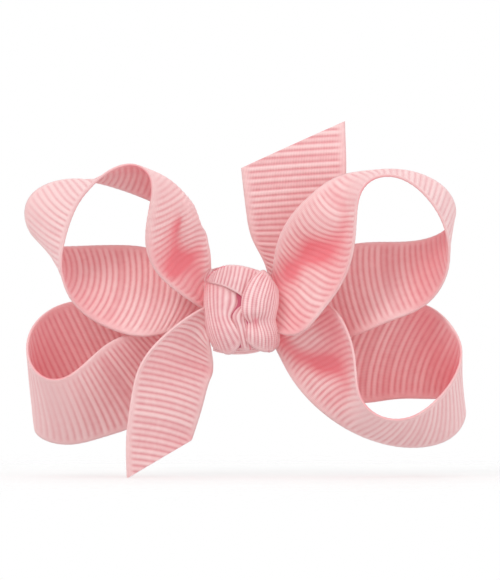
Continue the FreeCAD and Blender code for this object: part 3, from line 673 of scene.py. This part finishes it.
class Nodes:
    """Short names for building one material's node tree."""

    def __init__(self, name):
        self.material = bpy.data.materials.new(name)
        self.material.use_nodes = True
        self.tree = self.material.node_tree
        self.shader = self.tree.nodes["Principled BSDF"]

    def add(self, kind, **settings):
        node = self.tree.nodes.new(kind)
        for label, value in settings.items():
            setattr(node, label, value)
        return node

    def set_input(self, node, label, value):
        """Links value if it is another node's output, and stores it otherwise."""
        if isinstance(value, bpy.types.NodeSocket):
            self.tree.links.new(value, node.inputs[label])
        else:
            node.inputs[label].default_value = value

    def attribute(self, label):
        return self.add("ShaderNodeAttribute", attribute_name=label).outputs["Fac"]

    def math(self, operation, first, second=0.0):
        node = self.add("ShaderNodeMath", operation=operation)
        self.set_input(node, 0, first)
        self.set_input(node, 1, second)
        return node.outputs[0]

    def mix(self, share, first, second):
        node = self.add("ShaderNodeMix", data_type="RGBA")
        self.set_input(node, "Factor", share)
        self.set_input(node, 6, first)
        self.set_input(node, 7, second)
        return node.outputs[2]

    def noise(self, scale, detail=3.0, vector=None):
        node = self.add("ShaderNodeTexNoise")
        node.inputs["Scale"].default_value = scale
        node.inputs["Detail"].default_value = detail
        if vector is not None:
            self.set_input(node, "Vector", vector)
        return node.outputs["Fac"]

    def position(self):
        return self.add("ShaderNodeTexCoord").outputs["Object"]

    def bump(self, height, distance, strength=1.0):
        node = self.add("ShaderNodeBump")
        node.inputs["Strength"].default_value = strength
        node.inputs["Distance"].default_value = distance
        self.set_input(node, "Height", height)
        self.set_input(self.shader, "Normal", node.outputs["Normal"])

    def look(self, **values):
        for label, value in values.items():
            self.set_input(self.shader, label.replace("_", " "), value)


def colour(red, green, blue):
    return (red, green, blue, 1.0)


def ribbon_material(name, crest, groove, hollow_shade_colour, warp_pitch):
    """Grosgrain: painted highlight on pale cord crests, painted shade in deeper grooves and saturated
    painted shade in hollows, painted light through the cloth from emission, fine lengthwise yarns.
    """
    nodes = Nodes(name)
    rib = nodes.attribute("rib")
    selvage = nodes.attribute("selvage")
    hollow = nodes.attribute("hollow")
    cloth = nodes.add("ShaderNodeSeparateXYZ")
    uv = nodes.add("ShaderNodeUVMap", uv_map="cloth_mm").outputs["UV"]
    nodes.set_input(cloth, 0, uv)
    yarn_phase = nodes.math("MULTIPLY", cloth.outputs["Y"], 2 * math.pi / warp_pitch)
    yarn = nodes.math("MULTIPLY_ADD", nodes.math("SINE", yarn_phase), 0.5)
    yarn.node.inputs[2].default_value = 0.5
    clumps = nodes.noise(900.0, 2.0, nodes.position())
    fuzz = nodes.noise(7000.0, 2.0, nodes.position())
    level = nodes.math("ADD", rib, nodes.math("MULTIPLY", selvage, 0.75))
    level = nodes.math("ADD", level, nodes.math("MULTIPLY", nodes.math("SUBTRACT", clumps, 0.5), 0.5))
    level.node.use_clamp = True
    # painted light: the crest colour holds a painted highlight, the groove colour painted shade
    base = nodes.mix(level, groove, crest)
    # where a turn pulls the cords flat, the painted crest highlight and groove shade are evened out to one
    # tone
    even = tuple(0.66 * high + 0.34 * low for high, low in zip(crest, groove))
    base = nodes.mix(nodes.math("MULTIPLY", nodes.attribute("taut"), 0.8), base, even)
    # painted shade: the colour turns to the saturated hollow shade colour in creases and turns
    base = nodes.mix(nodes.math("MULTIPLY", hollow, 0.9), base, hollow_shade_colour)
    shade = nodes.math("MULTIPLY_ADD", yarn, 0.10)
    shade.node.inputs[2].default_value = 0.93
    tone = nodes.add("ShaderNodeVectorMath", operation="SCALE")
    nodes.set_input(tone, 0, base)
    nodes.set_input(tone, "Scale", shade)
    height = nodes.math("ADD", yarn, fuzz)
    nodes.bump(height, 0.025 * MM, 0.8)
    painted_glow = nodes.math("MULTIPLY_ADD", hollow, 0.09)
    painted_glow.node.inputs[2].default_value = 0.09
    nodes.look(
        Base_Color=tone.outputs[0],
        Roughness=0.6,
        Specular_IOR_Level=0.4,
        Sheen_Weight=0.3,
        Sheen_Roughness=0.4,
        Sheen_Tint=colour(1.0, 0.93, 0.93),
        # painted light: emission everywhere, stronger in the hollows, stands in for light that comes
        # through the thin cloth from its other side
        Emission_Color=colour(0.95, 0.30, 0.33),
        Emission_Strength=painted_glow,
    )
    return nodes.material


def thread_material():
    """Polyester thread: two plies twisted together."""
    nodes = Nodes("gather_thread")
    wave = nodes.add("ShaderNodeTexWave", wave_type="BANDS", bands_direction="DIAGONAL")
    wave.inputs["Scale"].default_value = 2600.0
    wave.inputs["Distortion"].default_value = 0.6
    nodes.set_input(wave, "Vector", nodes.position())
    base = nodes.mix(wave.outputs["Fac"], colour(0.55, 0.20, 0.22), colour(0.86, 0.45, 0.46))
    nodes.bump(wave.outputs["Fac"], 0.05 * MM)
    nodes.look(Base_Color=base, Roughness=0.55, Sheen_Weight=0.2)
    return nodes.material


def glue_material():
    """Set hot glue: milky, slightly yellow, with small dents."""
    nodes = Nodes("hot_glue")
    dents = nodes.noise(420.0, 4.0, nodes.position())
    base = nodes.mix(dents, colour(0.80, 0.77, 0.68), colour(0.93, 0.92, 0.87))
    nodes.bump(dents, 0.25 * MM, 0.7)
    nodes.look(Base_Color=base, Roughness=0.28, Transmission_Weight=0.35, IOR=1.48)
    return nodes.material


def metal_material(name, tint, grain_stretch, roughness):
    """Plated sheet or wire: rolling marks along it, fine scratches and dull patches."""
    nodes = Nodes(name)
    stretch = nodes.add("ShaderNodeMapping")
    stretch.inputs["Scale"].default_value = grain_stretch
    nodes.set_input(stretch, "Vector", nodes.position())
    grain = nodes.noise(900.0, 6.0, stretch.outputs["Vector"])
    patches = nodes.noise(160.0, 3.0, nodes.position())
    dulled = nodes.add("ShaderNodeMapRange")
    nodes.set_input(dulled, "Value", patches)
    dulled.inputs["To Min"].default_value = roughness
    dulled.inputs["To Max"].default_value = roughness + 0.16
    darker = tuple(0.78 * part for part in tint[:3]) + (1.0,)
    base = nodes.mix(grain, darker, tint)
    nodes.bump(grain, 0.012 * MM, 0.6)
    nodes.look(Base_Color=base, Metallic=1.0, Roughness=dulled.outputs["Result"])
    return nodes.material


def paint(piece, material):
    piece.data.materials.clear()
    piece.data.materials.append(material)


# ---------------------------------------------------------------- building the bow

FOLD_SMOOTHING = 4
STRAIGHT = ((0.0, 0.0), (1.0, 0.0))
# How the cords slant from square: share of the ribbon's length, slant in mm.
LEAN = {
    "lower_left_loop": ((0.0, 0.0), (0.12, 5.0), (0.30, 5.0), (0.5, 1.0), (1.0, 0.0)),
    "upper_right_loop": (
        (0.0, 0.0), (0.08, 5.0), (0.28, 6.0), (0.42, 0.0), (0.55, 0.0), (0.7, 3.5), (0.95, 3.0), (1.0, 2.0)
    ),
    "lower_right_loop": (
        (0.0, 0.0), (0.08, 5.0), (0.26, 6.0), (0.45, 3.0), (0.6, 0.0), (0.8, 2.0), (1.0, 0.0)
    ),
    "upper_left_loop": ((0.0, 0.0), (0.5, 0.0), (0.65, -3.0), (0.95, -2.5), (1.0, -2.0)),
}
# How the front strands are bent where they are pinched into the knot. Each fold is a direction,
# a reach in mm, and stations of: share of the ribbon's length, share of its width from the
# front edge, height of the fold in mm.
FOLDS = {
    "upper_right_loop": (
        ((0.0, 1.0, 0.0), 2.4, (
            (0.03, 0.90, 0.0), (0.07, 0.80, 1.4), (0.12, 0.70, 2.8), (0.19, 0.56, 3.4),
            (0.26, 0.36, 2.4), (0.33, 0.25, 0.0),
        )),
    ),
    "upper_left_loop": (
        ((0.0, 1.0, 0.0), 2.6, (
            (0.03, 0.85, 0.0), (0.08, 0.66, 0.6), (0.13, 0.50, 1.3), (0.18, 0.38, 2.9),
            (0.23, 0.31, 4.3), (0.29, 0.25, 3.8), (0.36, 0.19, 1.2), (0.42, 0.15, 0.0),
        )),
        ((0.85, 0.0, 0.5), 2.8, (
            (0.05, 0.90, 0.0), (0.11, 0.86, 0.6), (0.18, 0.80, 1.1), (0.26, 0.74, 0.8),
            (0.38, 0.62, 0.0),
        )),
    ),
    "lower_right_loop": (
        ((0.0, 1.0, 0.0), 1.6, (
            (0.03, 0.85, 0.0), (0.08, 0.78, 0.9), (0.13, 0.72, 1.6), (0.18, 0.62, 1.7),
            (0.23, 0.50, 1.0), (0.29, 0.42, 0.0),
        )),
    ),
}
BOW_PIECES = (
    "upper_left_loop",
    "lower_left_loop",
    "upper_right_loop",
    "lower_right_loop",
    "upper_tail",
    "lower_tail",
)


def place(piece, material, body, slot, *nodes):
    """Paints a piece, hangs it on its body and hides the CAD nodes it stands for."""
    paint(piece, material)
    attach(piece, body)
    if nodes:
        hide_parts(*nodes)


def sculpted(node, sheet):
    """The sheet with its folds pushed in."""
    shares = np.linspace(0, 1, len(sheet))
    across = np.stack([path_lengths(row) for row in sheet]) / MM
    push = np.zeros_like(sheet)
    for direction, reach, stations in FOLDS.get(node, ()):
        lengths, places, heights = np.array(stations).T
        place = np.interp(shares, lengths, places)
        height = np.interp(shares, lengths, heights)
        offset = across - place[:, None] * across[:, -1:]
        swell = height[:, None] * np.exp(-0.5 * (offset / reach) ** 2)
        push += smooth_rows(swell, FOLD_SMOOTHING)[..., None] * np.array(direction) * MM
    return sheet + push


def cut_end(piece, front, rear, normal):
    """Trims the piece along the slanting line from front to rear and closes the cut."""
    trimmed = bmesh.new()
    trimmed.from_mesh(piece.data)
    outward = unit(np.cross(rear - front, normal))
    if outward[2] * (front[2] + rear[2]) < 0:
        outward = -outward
    everything = trimmed.verts[:] + trimmed.edges[:] + trimmed.faces[:]
    bmesh.ops.bisect_plane(
        trimmed, geom=everything, plane_co=front, plane_no=outward, clear_outer=True
    )
    rim = [edge for edge in trimmed.edges if edge.is_boundary]
    bmesh.ops.holes_fill(trimmed, edges=rim, sides=0)
    bmesh.ops.triangulate(trimmed, faces=[face for face in trimmed.faces if len(face.verts) > 4])
    trimmed.to_mesh(piece.data)
    trimmed.free()


def lengthened(grid, extra):
    """The grid carried on straight past its last row."""
    onward = unit(grid[-1] - grid[-4])
    onward = unit(onward + 2 * onward.mean(axis=0))
    step = np.linalg.norm(grid[-1] - grid[-2], axis=1).mean()
    further = np.arange(1, int(extra / step) + 2)[:, None, None] * step
    return np.concatenate([grid, grid[-1] + onward * further])


def build_loop(node, seed):
    """A loop's ribbed mesh, its cords squared from the middle of the loop outwards."""
    sheet = spline_columns(sculpted(node, read_ribbon(node)), BOW_RIBBON["columns"])
    spacing = BOW_RIBBON["rib_pitch"] / ROWS_PER_RIB
    middle = (len(sheet) // 2, sheet.shape[1] // 2)
    grid = rows_across_edges(sheet, spacing, *middle, LEAN.get(node, STRAIGHT))
    return ribbed_mesh(node + "_ribbon", grid, BOW_RIBBON, seed)


def build_tail(node, seed):
    """A tail's ribbed mesh, its cords squared from the tip and its end cut on the slant."""
    flat_ribbon = {**BOW_RIBBON, "hollow_shade_gain": TAIL_HOLLOW_SHADE_GAIN, "taut_gain": 0.0}
    sheet = spline_columns(sculpted(node, read_ribbon(node)), BOW_RIBBON["columns"])
    front, rear = sheet[-1, 0], sheet[-1, -1]
    middle = sheet.shape[1] // 2
    normal = grid_normals(sheet[-3:])[-1, middle]
    longer = 0 if path_lengths(sheet[:, 0])[-1] > path_lengths(sheet[:, -1])[-1] else -1
    end_row = len(sheet) - 1
    sheet = lengthened(sheet, TAIL_SPARE)
    spacing = BOW_RIBBON["rib_pitch"] / ROWS_PER_RIB
    tip = (end_row, longer % sheet.shape[1])
    grid = rows_across_edges(sheet, spacing, *tip, LEAN.get(node, STRAIGHT))
    piece = ribbed_mesh(node + "_ribbon", grid, flat_ribbon, seed)
    cut_end(piece, front, rear, normal)
    return piece


def build_ribbons():
    """The four loops and two tails of the bow ribbon."""
    cloth = ribbon_material(
        "bow_ribbon",
        # crest colour with painted highlight, groove colour with painted shade, then the painted shade of
        # the hollows
        colour(0.90, 0.67, 0.66),
        colour(0.73, 0.32, 0.34),
        colour(0.70, 0.14, 0.17),
        warp_pitch=0.24,
    )
    for seed, node in enumerate(BOW_PIECES):
        build = build_tail if node.endswith("_tail") else build_loop
        place(build(node, seed), cloth, "bow", "bow_ribbon", node)


def build_knot():
    """The knot's four folded strips, the ring behind them, its core shown as painted shade in the gaps
    between the strips, and the band's wrap.
    """
    cloth = ribbon_material(
        "knot_ribbon",
        # crest colour with painted highlight, groove colour with painted shade, then the painted shade of
        # the hollows
        colour(0.89, 0.65, 0.65),
        colour(0.66, 0.27, 0.30),
        colour(0.66, 0.16, 0.22),
        warp_pitch=0.2,
    )
    for seed, (name, rulings) in enumerate(KNOT_STRIPS.items(), start=20):
        place(knot_strip(name, rulings, seed), cloth, "bow", "knot_ribbon", "knot")
    loop = rounded_loop(low_y=-13.2, high_y=-4.75, half_z=5.8, radius=2.6, steps=9)
    ring = wrapped_strip("knot_ring", loop, left=-4.3, right=2.9, belly=0.5, seed=30)
    place(ring, cloth, "bow", "knot_ribbon", "knot")
    # painted shade: the core is a dim, saturated pink cloth, the shade seen in the gaps of the knot
    gap_shade_cloth = ribbon_material(
        "knot_gap_shade",
        colour(0.62, 0.13, 0.22),
        colour(0.50, 0.08, 0.15),
        colour(0.50, 0.08, 0.15),
        warp_pitch=0.2,
    )
    place(knot_core(), gap_shade_cloth, "bow", "knot_ribbon", "knot")
    low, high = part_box("knot_band")
    inset = 0.22
    loop = rounded_loop(
        low.y / MM + inset, high.y / MM - inset, high.z / MM - inset, radius=0.6, steps=7
    )
    band = wrapped_strip(
        "knot_band_ribbon", loop, left=low.x / MM, right=high.x / MM, belly=0.0, seed=31
    )
    place(band, cloth, "bow", "knot_ribbon", "knot_band")


def build_clip():
    """Finishes of the clip, thread and glue, and the spring redrawn as a round wire."""
    plated = metal_material("clip_metal", colour(0.64, 0.64, 0.66), (0.15, 1.0, 1.0), 0.2)
    steel = metal_material("spring_steel", colour(0.50, 0.51, 0.54), (1.0, 1.0, 1.0), 0.26)
    for node in ("upper_arm", "lower_arm", "hinge_pin"):
        paint(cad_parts[node], plated)
    paint(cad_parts["gather_thread"], thread_material())
    paint(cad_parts["glue_pad"], glue_material())
    spring = tube("clip_spring_wire", spring_path(), WIRE_RADIUS, sides=14)
    paint(spring, steel)
    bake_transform(spring)
    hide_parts("clip_spring")


# ---------------------------------------------------------------- floor, light and camera

def build_floor(level):
    """A pale round floor that fades into the white surroundings."""
    bpy.ops.mesh.primitive_circle_add(vertices=96, radius=0.6, fill_type="NGON", location=(0, 0, level))
    floor = bpy.context.object
    floor.name = "floor"
    nodes = Nodes("pale_floor")
    grain = nodes.noise(60.0, 4.0, nodes.position())
    base = nodes.mix(grain, colour(0.90, 0.90, 0.90), colour(0.93, 0.93, 0.93))
    nodes.look(Base_Color=base, Roughness=0.6)
    distance = nodes.add("ShaderNodeVectorMath", operation="LENGTH")
    nodes.set_input(distance, 0, nodes.position())
    fade = nodes.add("ShaderNodeMapRange", interpolation_type="SMOOTHSTEP")
    nodes.set_input(fade, "Value", distance.outputs["Value"])
    fade.inputs["From Min"].default_value = 0.02
    fade.inputs["From Max"].default_value = 0.18
    fade.inputs["To Min"].default_value = 0.5
    clear = nodes.add("ShaderNodeBsdfTransparent")
    blend = nodes.add("ShaderNodeMixShader")
    nodes.set_input(blend, 0, fade.outputs["Result"])
    nodes.set_input(blend, 1, nodes.shader.outputs[0])
    nodes.set_input(blend, 2, clear.outputs[0])
    output = nodes.tree.nodes["Material Output"]
    nodes.set_input(output, "Surface", blend.outputs[0])
    paint(floor, nodes.material)


def area_light(name, location, target, size, power, tint):
    """A round soft lamp at the location, aimed at the target."""
    lamp = bpy.data.lights.new(name, "AREA")
    lamp.shape = "DISK"
    lamp.size = size
    lamp.energy = power
    lamp.color = tint
    holder = linked(name, lamp)
    holder.location = location
    holder.rotation_euler = (Vector(target) - Vector(location)).to_track_quat("-Z", "Y").to_euler()


# Strength of the soft light from below and from above.
SOFT_LIGHT = (0.58, 1.06)


def build_light():
    """Soft light from all round, white where the camera sees it, and two lamps."""
    world = bpy.data.worlds.new("studio")
    world.use_nodes = True
    background = world.node_tree.nodes["Background"]
    background.inputs["Color"].default_value = (1.0, 1.0, 1.0, 1.0)
    new_node = world.node_tree.nodes.new
    link = world.node_tree.links.new
    seen = new_node("ShaderNodeLightPath")
    direction = new_node("ShaderNodeTexCoord")
    upward = new_node("ShaderNodeSeparateXYZ")
    link(direction.outputs["Generated"], upward.inputs[0])
    soft = new_node("ShaderNodeMapRange")
    soft.inputs["From Min"].default_value = -1.0
    soft.inputs["To Min"].default_value, soft.inputs["To Max"].default_value = SOFT_LIGHT
    link(upward.outputs["Z"], soft.inputs["Value"])
    strength = new_node("ShaderNodeMapRange")
    link(seen.outputs["Is Camera Ray"], strength.inputs["Value"])
    link(soft.outputs["Result"], strength.inputs["To Min"])
    link(strength.outputs["Result"], background.inputs["Strength"])
    bpy.context.scene.world = world
    middle = (0.0, -0.01, 0.0)
    area_light("key", (-0.30, -0.50, 0.42), middle, size=0.26, power=1.0, tint=(1.0, 0.985, 0.97))
    area_light("fill", (0.45, -0.35, 0.10), middle, size=0.50, power=0.4, tint=(0.97, 0.98, 1.0))
    bpy.context.scene.view_settings.view_transform = "Standard"


VIEW_CENTRE = (1.2 * MM, 3.15 * MM)
VIEW_HEIGHT = 87 * MM
VIEW_DISTANCE = 1.3
OBJECT_DEPTH = -11 * MM


def build_camera():
    """Straight in front of the bow, far off with a long lens, framed on its middle depth."""
    data = bpy.data.cameras.new("camera")
    data.lens = data.sensor_width / 2 * VIEW_DISTANCE / (VIEW_HEIGHT / 2)
    data.clip_start = 0.05
    data.clip_end = 10.0
    camera = linked("camera", data)
    camera.location = (VIEW_CENTRE[0], OBJECT_DEPTH - VIEW_DISTANCE, VIEW_CENTRE[1])
    camera.rotation_euler = (math.pi / 2, 0.0, 0.0)
    bpy.context.scene.camera = camera


build_ribbons()
build_knot()
build_clip()
bpy.context.view_layer.update()
VISUAL_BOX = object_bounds()
build_floor(VISUAL_BOX[0].z)
build_light()
build_camera()
